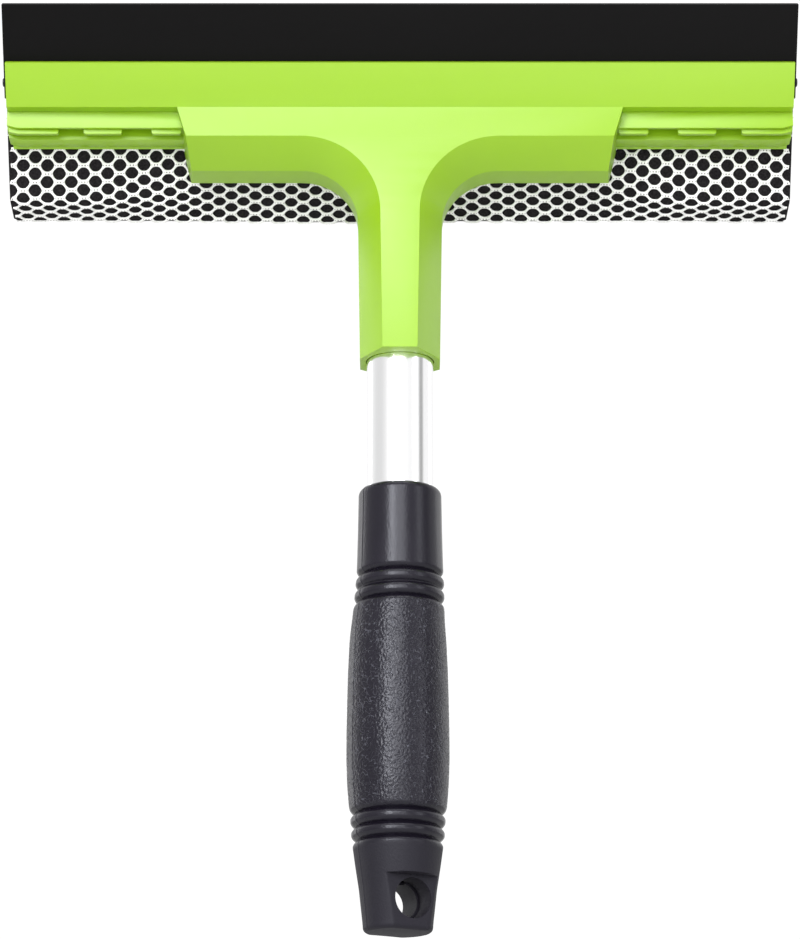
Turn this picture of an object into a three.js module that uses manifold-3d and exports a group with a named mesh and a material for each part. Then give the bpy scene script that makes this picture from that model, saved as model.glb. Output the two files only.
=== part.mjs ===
// Window cleaning squeegee: a rubber blade and a netted foam pad on one green head,
// carried by a short aluminium tube with a black moulded grip.
//
// Millimetres, +Z up. The handle stands on +Z with the blade uppermost, and the blade
// side of the head looks along -Y. The origin is the middle of the grip's flat end.
import * as THREE from 'three';
import { mergeVertices } from 'three/addons/utils/BufferGeometryUtils.js';
import Module from 'manifold-3d';

const wasm = await Module();
wasm.setup();

// ---- Driving dimensions -------------------------------------------------------------

const GAP = 0.3;                 // clearance between pieces that touch
const CUT = 1;                    // how far a cutter reaches past what it cuts
const ROUND = 48;                // facets round a large turned piece
const SMALL_ROUND = 20;          // facets round a rod, a screw or a fillet

// Handle tube and the plug in its upper end
const TUBE = { radius: 10.5, wall: 1.2, bottom: 42, top: 231 };
const PLUG = { radius: 9.0, bottom: 190, top: 229 };

// Grip: radius and height down the outside, with its groove bands and hanging hole
const GRIP = {
  top: 138.65, rimRadius: 12.9, rimRound: 2.2,
  boreRadius: 10.8, boreBottom: 41.7, coreRadius: 2.0, coreBottom: 9.4,
};
const GROOVE = { depth: 0.95, half: 1.05 };
const LOWER_GROOVES = [[27.5, 13.75], [31.6, 14.15], [35.8, 14.45]];
const UPPER_GROOVES = [[102.0, 14.0], [106.3, 13.9], [110.6, 13.6]];
const HANG = {
  turn: 29, flat: 8.6, flatTop: 16.4, height: 9.4, radius: 6.1, backRadius: 5.5, step: 0.6,
  reach: 30,
};

// Head plane: it leans forward from the vertical about the foot of the blade plate
const LEAN = 34;
const FOOT = { y: -15.5, z: 261.65 };
const PLATE = { width: 251, height: 14.25, thick: 2.2, ledgeBack: -11.55 };

// Yoke: a T in front view, with one chamfer carried round its front edge
const YOKE = {
  frontY: -15.5, chamferY: -3.5, backY: 7.0, rearY: 13.2,
  mouth: 180.9, top: 263, chamfer: 7.2,
  neckMouth: 12.65, neckTop: 13.4, filletX: 31.6, armBottom: 244.6,
  armEnd: { front: [68.1, 71.5], chamfer: [66.8, 71.8], back: [67.5, 72.1] },
};
const ARM_CAVITY = { inner: 20, outer: 65, bottom: 247.0, top: 252.2, front: -10.5, slope: 8 };

// Rear rail: stepped ribs below the blade clamp, seen under the ledge of the plate
const RAIL = { width: 251.3, front: -11.25, back: 10.7, jawTop: 14.3, jawFront: 5.8 };
const RIB = { upperBottom: 256.3, lowerFront: -5, lowerBottom: 254.75, lipBack: 1.1, lipRise: 2.0 };
const SLOT = { inner: 73, outer: 124, front: -10.05, top: 259.2 };
const TABS = [[70, 79.5], [89, 101.2], [109.3, 125.2]];
const TAB = { front: -9.6, back: -8.0, bottom: 254.95, corner: 0.7 };
const END_CHAMFER = { run: 3.2, rise: 1.1 };

// Rubber blade and the rod that locks it, measured in the head plane
const BLADE = { width: 252.5, low: 2.2, high: 32.4, front: 2.5, back: 5.5, tipBack: 5.1 };
const BEAD = { along: 6.9, across: 5.2, radius: 2.7 };
const ROD = { radius: 1.45, bore: 1.75, width: 253.9 };

// Foam pad, its net sleeve, and the carrier that slides in the rear rail
const PAD = { width: 254.5, low: -42.5, high: 5.5, front: 13.7, back: 39.7 };
const NET_WALL = 0.7;
const PAD_CLEARANCE = 0.8;
const CARRIER = { width: 250, low: -16, high: 4, front: 11.0, back: 13.4 };
const KEY = { low: -8, high: -3, neckLow: -6.9, neckHigh: -4.1, front: 6.4, neck: 8.5 };

// Screws: four hold the rail to the yoke, one holds the tube in the neck
const FRAME_SCREW_X = [-58, -24, 24, 58];
const FRAME_SCREW = { along: -5.5, head: 2.5, headHeight: 1.3, shank: 1.3, length: 6.4, sunk: 0.05 };
const NECK_SCREW = { height: 205, head: 3.2, headHeight: 2.0, shank: 1.5, length: 10.5 };

// ---- Materials ----------------------------------------------------------------------

const paint = (color, roughness, metalness = 0) =>
  new THREE.MeshStandardMaterial({ color, roughness, metalness });

const FINISH = {
  green: paint(0xb0e64c, 0.42),
  rubber: paint(0x1c1c1d, 0.55),
  rod: paint(0x202022, 0.5),
  foam: paint(0x1d1c1e, 0.95),
  net: paint(0xeeeeec, 0.8),
  aluminium: paint(0xe6e7ea, 0.25, 1),
  grip: paint(0x33333a, 0.5),
  steel: paint(0xb9bcc0, 0.3, 1),
  plug: paint(0xd8d8d4, 0.6),
};

// ---- Solids -------------------------------------------------------------------------

// A closed three.js geometry as a solid that can be joined and cut.
function solid(geometry) {
  const bare = geometry.index ? geometry.toNonIndexed() : geometry.clone();
  bare.deleteAttribute('normal');
  bare.deleteAttribute('uv');
  const merged = mergeVertices(bare, 1e-4);
  const mesh = new wasm.Mesh({
    numProp: 3,
    vertProperties: new Float32Array(merged.attributes.position.array),
    triVerts: new Uint32Array(merged.index.array),
  });
  return new wasm.Manifold(mesh);
}

// A solid as a named mesh.
function piece(name, body, material) {
  const mesh = body.getMesh();
  const geometry = new THREE.BufferGeometry();
  geometry.setAttribute('position', new THREE.BufferAttribute(mesh.vertProperties, 3));
  geometry.setIndex(new THREE.BufferAttribute(mesh.triVerts, 1));
  geometry.computeVertexNormals();
  const part = new THREE.Mesh(geometry, material);
  part.name = name;
  return part;
}

const AXES = {
  x: new THREE.Matrix4().makeBasis(
    new THREE.Vector3(0, 1, 0), new THREE.Vector3(0, 0, 1), new THREE.Vector3(1, 0, 0)),
  y: new THREE.Matrix4().makeBasis(
    new THREE.Vector3(1, 0, 0), new THREE.Vector3(0, 0, 1), new THREE.Vector3(0, -1, 0)),
};

// A (y, z) outline pushed along X, centred, to the given width.
function alongX(outline, width, holes = []) {
  const shape = new THREE.Shape(outline.map(([y, z]) => new THREE.Vector2(y, z)));
  shape.holes = holes.map((hole) => new THREE.Path(hole.map(([y, z]) => new THREE.Vector2(y, z))));
  const geometry = new THREE.ExtrudeGeometry(shape, { depth: width, bevelEnabled: false });
  geometry.translate(0, 0, -width / 2);
  return solid(geometry.applyMatrix4(AXES.x));
}

// An (x, z) shape pushed from one Y to a nearer, smaller one.
function alongY(shape, back, front) {
  const geometry = new THREE.ExtrudeGeometry(shape, {
    depth: back - front, bevelEnabled: false, curveSegments: 4,
  });
  return solid(geometry.applyMatrix4(AXES.y).translate(0, back, 0));
}

// A box from its lowest and highest corners.
function block([x0, y0, z0], [x1, y1, z1]) {
  const geometry = new THREE.BoxGeometry(x1 - x0, y1 - y0, z1 - z0);
  return solid(geometry.translate((x0 + x1) / 2, (y0 + y1) / 2, (z0 + z1) / 2));
}

// A profile of [radius, height] points turned about Z.
function turned(profile, segments) {
  const points = profile.map(([radius, height]) => new THREE.Vector2(radius, height));
  return solid(new THREE.LatheGeometry(points, segments).rotateX(Math.PI / 2));
}

// A plain rod along Z between two heights.
function rod(radius, bottom, top, segments = SMALL_ROUND) {
  return turned([[0, bottom], [radius, bottom], [radius, top], [0, top]], segments);
}

// ---- The leaning head plane ---------------------------------------------------------

const lean = THREE.MathUtils.degToRad(LEAN);

// (y, z) of a point given along the head plane, upwards, and across it, backwards.
function inHead(along, across) {
  return [
    FOOT.y - along * Math.sin(lean) + across * Math.cos(lean),
    FOOT.z + along * Math.cos(lean) + across * Math.sin(lean),
  ];
}

// The point of the head plane at a depth across it that has the given world Y.
function alongAtY(y, across) {
  return (FOOT.y + across * Math.cos(lean) - y) / Math.sin(lean);
}

// The same for a world Z.
function alongAtZ(z, across) {
  return (z - FOOT.z - across * Math.sin(lean)) / Math.cos(lean);
}

// A rectangle in the head plane as a (y, z) outline.
function headRectangle(low, high, front, back) {
  return [inHead(low, front), inHead(low, back), inHead(high, back), inHead(high, front)];
}

// A circle in the head plane.
function headCircle(along, across, radius, steps = SMALL_ROUND) {
  const [y, z] = inHead(along, across);
  return Array.from({ length: steps }, (_, i) => {
    const angle = (i / steps) * 2 * Math.PI;
    return [y + radius * Math.cos(angle), z + radius * Math.sin(angle)];
  });
}

// The pad's section, a rectangle with fully round ends, shrunk by an inset.
function padSection(inset) {
  const radius = (PAD.back - PAD.front) / 2 - inset;
  const middle = (PAD.back + PAD.front) / 2;
  const reach = (PAD.back - PAD.front) / 2;
  const outline = [];
  for (const [centre, start] of [[PAD.high - reach, 0], [PAD.low + reach, Math.PI]]) {
    for (let i = 0; i <= SMALL_ROUND; i += 1) {
      const angle = start + (i / SMALL_ROUND) * Math.PI;
      outline.push(inHead(centre + radius * Math.sin(angle), middle + radius * Math.cos(angle)));
    }
  }
  return outline;
}

// ---- Front frame --------------------------------------------------------------------

// Outline of the T in front view. The inset moves its neck and lower edge inwards.
function teeOutline(inset, [endLow, endHigh]) {
  const radius = YOKE.filletX - YOKE.neckTop + inset;
  const armBottom = YOKE.armBottom + inset;
  const half = [[YOKE.neckMouth - inset, YOKE.mouth]];
  for (let i = 0; i <= SMALL_ROUND; i += 1) {
    const angle = (i / SMALL_ROUND) * Math.PI / 2;
    half.push([YOKE.filletX - radius * Math.cos(angle), armBottom - radius * (1 - Math.sin(angle))]);
  }
  half.push([endLow, armBottom], [endHigh, YOKE.top]);
  const mirrored = half.map(([x, z]) => [-x, z]).reverse();
  return [...half, ...mirrored];
}

// A solid skinned over outlines of equal point count, ordered from front to back.
function loft(rings) {
  const count = rings[0].outline.length;
  const positions = rings.flatMap(({ y, outline }) => outline.flatMap(([x, z]) => [x, y, z]));
  const index = [];
  for (let ring = 0; ring + 1 < rings.length; ring += 1) {
    for (let i = 0; i < count; i += 1) {
      const a = ring * count + i;
      const b = ring * count + (i + 1) % count;
      index.push(a, a + count, b, b, a + count, b + count);
    }
  }
  const cap = (ring) => THREE.ShapeUtils.triangulateShape(
    rings[ring].outline.map(([x, z]) => new THREE.Vector2(x, z)), []);
  const last = (rings.length - 1) * count;
  for (const [a, b, c] of cap(0)) index.push(a, b, c);
  for (const [a, b, c] of cap(rings.length - 1)) index.push(last + a, last + c, last + b);
  const geometry = new THREE.BufferGeometry();
  geometry.setAttribute('position', new THREE.Float32BufferAttribute(positions, 3));
  geometry.setIndex(index);
  return solid(geometry);
}

function yokeBody() {
  const { armEnd, chamfer } = YOKE;
  return loft([
    { y: YOKE.frontY, outline: teeOutline(chamfer, armEnd.front) },
    { y: YOKE.chamferY, outline: teeOutline(0, armEnd.chamfer) },
    { y: YOKE.backY, outline: teeOutline(0, armEnd.back) },
    { y: YOKE.rearY, outline: teeOutline(chamfer, armEnd.back) },
  ]);
}

// Plate in front of the blade, with the ledge that closes the blade slot underneath.
function bladePlate() {
  const slotSide = BLADE.back;
  const outline = [
    [FOOT.y, FOOT.z],
    [PLATE.ledgeBack, FOOT.z],
    inHead(alongAtY(PLATE.ledgeBack, slotSide), slotSide),
    inHead(BLADE.low - GAP, slotSide),
    inHead(BLADE.low - GAP, PLATE.thick),
    inHead(PLATE.height, PLATE.thick),
    inHead(PLATE.height, 0),
  ];
  return alongX(outline, PLATE.width);
}

// Hollow in the back of one arm.
function armCavity(side) {
  const { inner, outer, bottom, top, front, slope } = ARM_CAVITY;
  const back = YOKE.rearY + CUT;
  const outline = [[front + slope, bottom], [back, bottom], [back, top], [front, top]];
  return alongX(outline, outer - inner).translate([side * (inner + outer) / 2, 0, 0]);
}

function frontFrame() {
  const railRoom = block(
    [-PLATE.width, PLATE.ledgeBack, RIB.lowerBottom - GAP], [PLATE.width, YOKE.rearY + CUT, YOKE.top + CUT]);
  let body = yokeBody().subtract(railRoom).add(bladePlate());
  for (const side of [-1, 1]) body = body.subtract(armCavity(side));
  body = body.subtract(alongX(padSection(-PAD_CLEARANCE), PAD.width));
  body = body.subtract(rod(GRIP.boreRadius, YOKE.mouth - 5, TUBE.top + 2, ROUND));
  body = body.subtract(neckScrewHole());
  for (const x of FRAME_SCREW_X) body = body.subtract(frameScrewHole(x));
  return piece('front_frame', body, FINISH.green);
}

// ---- Rear rail ----------------------------------------------------------------------

// One hanging tab of the snap row, with rounded lower corners.
function tab([inner, outer], side) {
  const [left, right] = side > 0 ? [inner, outer] : [-outer, -inner];
  const { bottom, corner } = TAB;
  const top = SLOT.top + CUT;
  const shape = new THREE.Shape();
  shape.moveTo(left, top);
  shape.lineTo(left, bottom + corner);
  shape.quadraticCurveTo(left, bottom, left + corner, bottom);
  shape.lineTo(right - corner, bottom);
  shape.quadraticCurveTo(right, bottom, right, bottom + corner);
  shape.lineTo(right, top);
  return alongY(shape, TAB.back, TAB.front);
}

// Wedge that takes the lower corner off the end of a rib.
function endWedge(side, bottom, front, back) {
  const end = RAIL.width / 2;
  const shape = new THREE.Shape();
  shape.moveTo(side * (end - END_CHAMFER.run), bottom - CUT);
  shape.lineTo(side * (end - END_CHAMFER.run), bottom);
  shape.lineTo(side * (end + CUT), bottom + END_CHAMFER.rise);
  shape.lineTo(side * (end + CUT), bottom - CUT);
  return alongY(shape, back, front);
}

// Slot in the underside of the upper rib, which the tabs hang in.
function tabSlot(side) {
  const [left, right] = side > 0 ? [SLOT.inner, SLOT.outer] : [-SLOT.outer, -SLOT.inner];
  return block([left, SLOT.front, RIB.upperBottom - CUT], [right, RIB.lowerFront, SLOT.top]);
}

function rearRail() {
  const { front, back, jawFront, jawTop } = RAIL;
  const outline = [
    [front, RIB.upperBottom],
    [RIB.lowerFront, RIB.upperBottom],
    [RIB.lowerFront, RIB.lowerBottom],
    [RIB.lipBack, RIB.lowerBottom],
    inHead(alongAtZ(RIB.lowerBottom + RIB.lipRise, back), back),
    inHead(jawTop, back),
    inHead(jawTop, jawFront),
    inHead(alongAtY(front, jawFront), jawFront),
  ];
  let body = alongX(outline, RAIL.width);
  for (const side of [-1, 1]) {
    body = body.subtract(tabSlot(side));
    for (const span of TABS) body = body.add(tab(span, side));
    body = body.subtract(endWedge(side, RIB.upperBottom, front - CUT, TAB.front));
    body = body.subtract(endWedge(side, TAB.bottom, TAB.front - GAP, TAB.back + GAP));
    body = body.subtract(endWedge(side, RIB.lowerBottom, RIB.lowerFront - GAP, RIB.lipBack + RAIL.back));
  }
  const long = RAIL.width + 10;
  body = body.subtract(alongX(headCircle(BEAD.along, BEAD.across, BEAD.radius + GAP), long));
  body = body.subtract(alongX(keySlot(), long));
  for (const x of FRAME_SCREW_X) body = body.subtract(frameScrewHole(x));
  return piece('rear_rail', body, FINISH.green);
}

// ---- Blade --------------------------------------------------------------------------

function rubberBlade() {
  const strip = [
    inHead(BLADE.low, BLADE.front),
    inHead(BLADE.low, BLADE.back),
    inHead(PLATE.height + 1, BLADE.back),
    inHead(BLADE.high, BLADE.tipBack),
    inHead(BLADE.high, BLADE.front),
  ];
  const bead = alongX(headCircle(BEAD.along, BEAD.across, BEAD.radius), BLADE.width);
  const bore = alongX(headCircle(BEAD.along, BEAD.across, ROD.bore), BLADE.width + 10);
  const body = alongX(strip, BLADE.width).add(bead).subtract(bore);
  return piece('rubber_blade', body, FINISH.rubber);
}

function bladeRod() {
  const body = alongX(headCircle(BEAD.along, BEAD.across, ROD.radius), ROD.width);
  return piece('blade_rod', body, FINISH.rod);
}

// ---- Sponge refill ------------------------------------------------------------------

// Section of the carrier's T key, grown by a clearance.
function keyOutline(clearance) {
  const { low, high, neckLow, neckHigh, front, neck } = KEY;
  return [
    inHead(low - clearance, front - clearance),
    inHead(low - clearance, neck + clearance),
    inHead(neckLow - clearance, neck + clearance),
    inHead(neckLow - clearance, CARRIER.front + 0.5),
    inHead(neckHigh + clearance, CARRIER.front + 0.5),
    inHead(neckHigh + clearance, neck + clearance),
    inHead(high + clearance, neck + clearance),
    inHead(high + clearance, front - clearance),
  ];
}

function keySlot() {
  return keyOutline(GAP + FRAME_SCREW.sunk);
}

function spongeCarrier() {
  const { width, low, high, front, back } = CARRIER;
  const plate = alongX(headRectangle(low, high, front, back), width);
  return piece('sponge_carrier', plate.add(alongX(keyOutline(0), width)), FINISH.green);
}

function spongeFoam() {
  return piece('sponge_foam', alongX(padSection(NET_WALL + GAP), PAD.width - 1), FINISH.foam);
}

function netSleeve() {
  const sleeve = alongX(padSection(0), PAD.width);
  const inside = alongX(padSection(NET_WALL), PAD.width + 10);
  return piece('net_sleeve', sleeve.subtract(inside), FINISH.net);
}

// ---- Screws -------------------------------------------------------------------------

// Cross recess in a screw head whose top lies at height zero.
function crossRecess(reach) {
  const bar = (x, y) => block([-x, -y, -0.7], [x, y, 0.5]);
  return bar(reach, 0.35).add(bar(0.35, reach));
}

// A screw standing on +Z with its head top at height zero.
function screwBody({ head, headHeight, shank, length }, countersunk) {
  const underHead = countersunk ? [[shank, -headHeight]] : [[head, -headHeight], [shank, -headHeight]];
  const rim = countersunk ? [[head, 0], [head, -0.2]] : [[head - 0.6, 0], [head, -0.6]];
  const profile = [[0, 0], ...rim, ...underHead, [shank, 1.5 - length], [0, -length]];
  return turned(profile.reverse(), SMALL_ROUND).subtract(crossRecess(head * 0.62));
}

// Lays a screw's axis across the head plane at the floor of the key slot.
function placeFrameScrew(body, x) {
  const [y, z] = inHead(FRAME_SCREW.along, KEY.front - GAP - FRAME_SCREW.sunk - GAP);
  return body.rotate([LEAN - 90, 0, 0]).translate([x, y, z]);
}

// Hole for a frame screw, with its countersink, open to the key slot.
function frameScrewHole(x) {
  const { head, headHeight, shank, length } = FRAME_SCREW;
  const profile = [
    [0, -length - GAP], [shank + GAP, -length - GAP], [shank + GAP, -headHeight - GAP],
    [head + GAP, 0], [head + GAP, 1], [0, 1],
  ];
  return placeFrameScrew(turned(profile, SMALL_ROUND), x);
}

function frameScrews() {
  return FRAME_SCREW_X.map((x, i) => piece(
    `frame_screw_${i + 1}`, placeFrameScrew(screwBody(FRAME_SCREW, true), x), FINISH.steel));
}

// Turns a screw to point along -Y from the back of the neck.
function placeNeckScrew(body) {
  const headTop = YOKE.rearY + GAP + NECK_SCREW.headHeight;
  return body.rotate([-90, 0, 0]).translate([0, headTop, NECK_SCREW.height]);
}

function neckScrewHole() {
  const { shank, length } = NECK_SCREW;
  return placeNeckScrew(rod(shank + GAP, -length - 3, 5));
}

function neckScrew() {
  return piece('neck_screw', placeNeckScrew(screwBody(NECK_SCREW, false)), FINISH.steel);
}

// ---- Handle -------------------------------------------------------------------------

function tube() {
  const { radius, wall, bottom, top } = TUBE;
  const body = rod(radius, bottom, top, ROUND).subtract(rod(radius - wall, bottom - 1, top + 1, ROUND));
  return piece('tube', body.subtract(neckScrewHole()), FINISH.aluminium);
}

function tubePlug() {
  const body = rod(PLUG.radius, PLUG.bottom, PLUG.top, ROUND).subtract(neckScrewHole());
  return piece('tube_plug', body, FINISH.plug);
}

// Three points of a round-bottomed groove in an outline of the given radius.
function groove(height, radius) {
  const { half, depth } = GROOVE;
  return [
    [radius, height - half],
    [radius - depth * 0.75, height - half * 0.5],
    [radius - depth, height],
    [radius - depth * 0.75, height + half * 0.5],
    [radius, height + half],
  ];
}

// Points [radius, height] up the outside of the grip.
function gripProfile() {
  const rim = Array.from({ length: 6 }, (_, i) => {
    const angle = (i / 5) * Math.PI / 2;
    return [GRIP.rimRadius - GRIP.rimRound * (1 - Math.cos(angle)),
      GRIP.top - GRIP.rimRound * (1 - Math.sin(angle))];
  });
  return [
    [0, 0], [8.4, 0], [9.5, 0.5], [10.3, 1.6], [10.7, 3.2], [11.1, 6.5], [11.8, 13], [12.9, 20],
    ...LOWER_GROOVES.flatMap(([height, radius]) => groove(height, radius)),
    [14.9, 39], [15.4, 45], [15.68, 53], [15.65, 62], [15.5, 71], [15.25, 81], [14.85, 90],
    ...UPPER_GROOVES.flatMap(([height, radius]) => groove(height, radius)),
    [13.3, 117], [13.1, 125],
    ...rim,
    [GRIP.boreRadius, GRIP.top], [GRIP.boreRadius, GRIP.boreBottom],
    [GRIP.coreRadius, GRIP.boreBottom], [GRIP.coreRadius, GRIP.coreBottom], [0, GRIP.coreBottom],
  ];
}

// Flats on both sides of the grip's end, and the stepped hole that runs between them.
function hangCut() {
  const { turn, flat, flatTop, height, radius, backRadius, step, reach } = HANG;
  const wide = rod(radius, step, reach, ROUND);
  const narrow = rod(backRadius, -reach, step + CUT, ROUND);
  const hole = wide.add(narrow).rotate([90, 0, 0]).translate([0, 0, height]);
  const front = block([-reach, -reach, -CUT], [reach, -flat, flatTop]);
  const back = block([-reach, flat, -CUT], [reach, reach, flatTop]);
  return hole.add(front).add(back).rotate([0, 0, turn]);
}

function grip() {
  return piece('grip', turned(gripProfile(), ROUND).subtract(hangCut()), FINISH.grip);
}

// ---- Assembly -----------------------------------------------------------------------

const squeegee = new THREE.Group();
squeegee.add(
  frontFrame(),
  rearRail(),
  rubberBlade(),
  bladeRod(),
  spongeCarrier(),
  spongeFoam(),
  netSleeve(),
  ...frameScrews(),
  neckScrew(),
  tube(),
  tubePlug(),
  grip(),
);

export default squeegee;
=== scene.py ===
"""Window cleaning squeegee: the looks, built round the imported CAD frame.

Every piece is placed from the frame, in metres: +Z up the handle, the blade side
looking along -Y. Each sub-assembly is a class that builds and dresses its pieces.
"""

import logging
import math
from dataclasses import dataclass, field
from enum import Enum
from typing import Any, Sequence

import bmesh
import bpy
import numpy as np
from mathutils import Matrix, Vector


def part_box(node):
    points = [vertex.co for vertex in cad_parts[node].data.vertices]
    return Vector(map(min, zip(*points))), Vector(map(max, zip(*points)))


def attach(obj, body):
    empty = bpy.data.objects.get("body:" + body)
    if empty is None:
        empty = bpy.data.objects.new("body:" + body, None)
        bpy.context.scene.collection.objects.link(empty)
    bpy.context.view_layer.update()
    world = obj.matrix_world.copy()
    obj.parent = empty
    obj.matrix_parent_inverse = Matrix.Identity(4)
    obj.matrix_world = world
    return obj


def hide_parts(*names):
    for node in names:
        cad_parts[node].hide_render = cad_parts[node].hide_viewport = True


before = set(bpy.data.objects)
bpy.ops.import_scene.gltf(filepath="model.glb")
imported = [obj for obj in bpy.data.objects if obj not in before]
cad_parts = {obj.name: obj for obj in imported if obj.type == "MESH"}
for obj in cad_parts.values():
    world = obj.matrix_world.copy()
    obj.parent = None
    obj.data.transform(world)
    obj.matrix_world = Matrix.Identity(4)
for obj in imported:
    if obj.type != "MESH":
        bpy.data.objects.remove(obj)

LOG = logging.getLogger("squeegee")
MM = 0.001
Point = tuple[float, float, float]
Colour = tuple[float, float, float]
TURNED_WELD = 1e-6  # metres between points of a turned piece that are one
CAD_WELD = 2e-6  # the same on a CAD node
FLAT_ANGLE = math.radians(0.6)  # facets that differ by less are one flat
EDGE_ANGLE = math.radians(22.0)  # edges that are sharper get rounded
AXIS_RADIUS = 1e-5  # radius that closes the end of a turned piece


class Body(Enum):
    """CAD bodies that pieces ride on."""

    MAIN = "handle_and_head"
    BLADE = "blade"
    ROD = "rod"
    SPONGE = "sponge"


class Slot(Enum):
    """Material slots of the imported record."""

    GREEN = "green_plastic"
    RUBBER = "blade_rubber"
    ROD = "rod_plastic"
    FOAM = "foam"
    NET = "net"
    STEEL = "screw_steel"
    ALUMINIUM = "tube_aluminium"
    PLUG = "plug_plastic"
    GRIP = "grip_plastic"


# ---- Shader building ------------------------------------------------------------------


class Wire:
    """A shader socket that can be used in a Python expression."""

    def __init__(self, board: "Board", socket: bpy.types.NodeSocket) -> None:
        """Wrap a socket.

        Args:
            board: the material's board, which adds the nodes.
            socket: the output socket that carries the value.
        """
        self.board = board
        self.socket = socket

    def _math(self, operation: str, first: Any, second: Any) -> "Wire":
        """The output of a new Math node."""
        return self.board.add("ShaderNodeMath", {"operation": operation}, {0: first, 1: second})

    def __add__(self, other: Any) -> "Wire":
        """self + other."""
        return self._math("ADD", self, other)

    def __radd__(self, other: Any) -> "Wire":
        """other + self."""
        return self._math("ADD", other, self)

    def __sub__(self, other: Any) -> "Wire":
        """self - other."""
        return self._math("SUBTRACT", self, other)

    def __rsub__(self, other: Any) -> "Wire":
        """other - self."""
        return self._math("SUBTRACT", other, self)

    def __mul__(self, other: Any) -> "Wire":
        """self * other."""
        return self._math("MULTIPLY", self, other)

    def __rmul__(self, other: Any) -> "Wire":
        """other * self."""
        return self._math("MULTIPLY", other, self)

    def fract(self) -> "Wire":
        """The part after the decimal point."""
        return self._math("FRACT", self, 0.0)

    def distance_to(self, value: float) -> "Wire":
        """Absolute difference from a value."""
        return self._math("ABSOLUTE", self - value, 0.0)

    def below(self, limit: float, soft: float) -> "Wire":
        """1 where the value is under a limit, 0 above it, with a soft edge.

        Args:
            limit: middle of the edge.
            soft: half width of the edge.

        Returns:
            The mask.
        """
        return self.board.add(
            "ShaderNodeMapRange",
            {"interpolation_type": "SMOOTHSTEP"},
            {"Value": self, "From Min": limit - soft, "From Max": limit + soft,
             "To Min": 1.0, "To Max": 0.0},
        )


class Board:
    """Node tree of one material, with a single way to add nodes."""

    def __init__(self, name: str, world: bpy.types.NodeTree | None = None) -> None:
        """Start an empty material with a Principled shader.

        Args:
            name: the material's name.
            world: a world's tree, to fill that instead of making a material.
        """
        if world is not None:
            self.tree = world
            self.tree.nodes.clear()
            return
        self.material = bpy.data.materials.new(name)
        self.material.use_nodes = True
        self.tree = self.material.node_tree
        self.tree.nodes.clear()
        self.shader = self.tree.nodes.new("ShaderNodeBsdfPrincipled")
        output = self.tree.nodes.new("ShaderNodeOutputMaterial")
        self.tree.links.new(self.shader.outputs[0], output.inputs["Surface"])

    def shade_world(self, level: "Wire") -> None:
        """Light the world at a level.

        Args:
            level: radiance in each direction.
        """
        node = self.tree.nodes.new("ShaderNodeBackground")
        self._feed(node.inputs["Strength"], level)
        node.inputs["Color"].default_value = (1.0, 1.0, 1.0, 1.0)
        output = self.tree.nodes.new("ShaderNodeOutputWorld")
        self.tree.links.new(node.outputs[0], output.inputs["Surface"])

    def _feed(self, socket: bpy.types.NodeSocket, value: Any) -> None:
        """Link a wire to an input socket, or set its value.

        Args:
            socket: the input socket.
            value: a wire, or a plain value.
        """
        if isinstance(value, Wire):
            self.tree.links.new(value.socket, socket)
        else:
            socket.default_value = value

    def add(self, kind: str, settings: dict[str, Any], inputs: dict[Any, Any],
            output: Any = 0) -> Wire:
        """Add any node.

        Args:
            kind: the node's type.
            settings: its own properties.
            inputs: values or wires by input name or number.
            output: name or number of the output wanted.

        Returns:
            The wanted output.
        """
        node = self.tree.nodes.new(kind)
        for key, value in settings.items():
            setattr(node, key, value)
        for key, value in inputs.items():
            self._feed(node.inputs[key], value)
        return Wire(self, node.outputs[output])

    def place(self) -> Wire:
        """Object coordinates in metres."""
        return self.add("ShaderNodeTexCoord", {}, {}, "Object")

    def stretched(self, scale: Point) -> Wire:
        """Object coordinates, scaled along each axis."""
        return self.add("ShaderNodeMapping", {}, {"Vector": self.place(), "Scale": scale})

    def noise(self, scale: float, detail: float = 3.0, vector: Wire | None = None) -> Wire:
        """Fractal noise from 0 to 1.

        Args:
            scale: how fine it is.
            detail: octaves of finer noise.
            vector: coordinates, by default the object's in metres.

        Returns:
            The noise.
        """
        where = vector if vector is not None else self.place()
        return self.add(
            "ShaderNodeTexNoise", {}, {"Vector": where, "Scale": scale, "Detail": detail})

    def mix(self, mask: Wire, first: Colour | Wire, second: Colour | Wire) -> Wire:
        """Mix two colours.

        Args:
            mask: 0 for the first colour, 1 for the second.
            first: a colour or a wire.
            second: a colour or a wire.

        Returns:
            The mixed colour.
        """
        paint = [c if isinstance(c, Wire) else (*c, 1.0) for c in (first, second)]
        return self.add(
            "ShaderNodeMix", {"data_type": "RGBA"}, {0: mask, 6: paint[0], 7: paint[1]}, 2)

    def bump(self, height: Wire, strength: float, depth: float, base: Wire | None = None) -> Wire:
        """Normal bent by a height.

        Args:
            height: the height, about 0 to 1.
            strength: how much of it shows.
            depth: metres of height that 1 stands for.
            base: a normal to bend further.

        Returns:
            The new normal.
        """
        inputs = {"Height": height, "Strength": strength, "Distance": depth}
        if base is not None:
            inputs["Normal"] = base
        return self.add("ShaderNodeBump", {}, inputs)

    def set(self, **sockets: Any) -> None:
        """Feed the Principled shader, with underscores for the spaces in socket names."""
        for key, value in sockets.items():
            self._feed(self.shader.inputs[key.replace("_", " ")], value)


# ---- Finishes -------------------------------------------------------------------------


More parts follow.
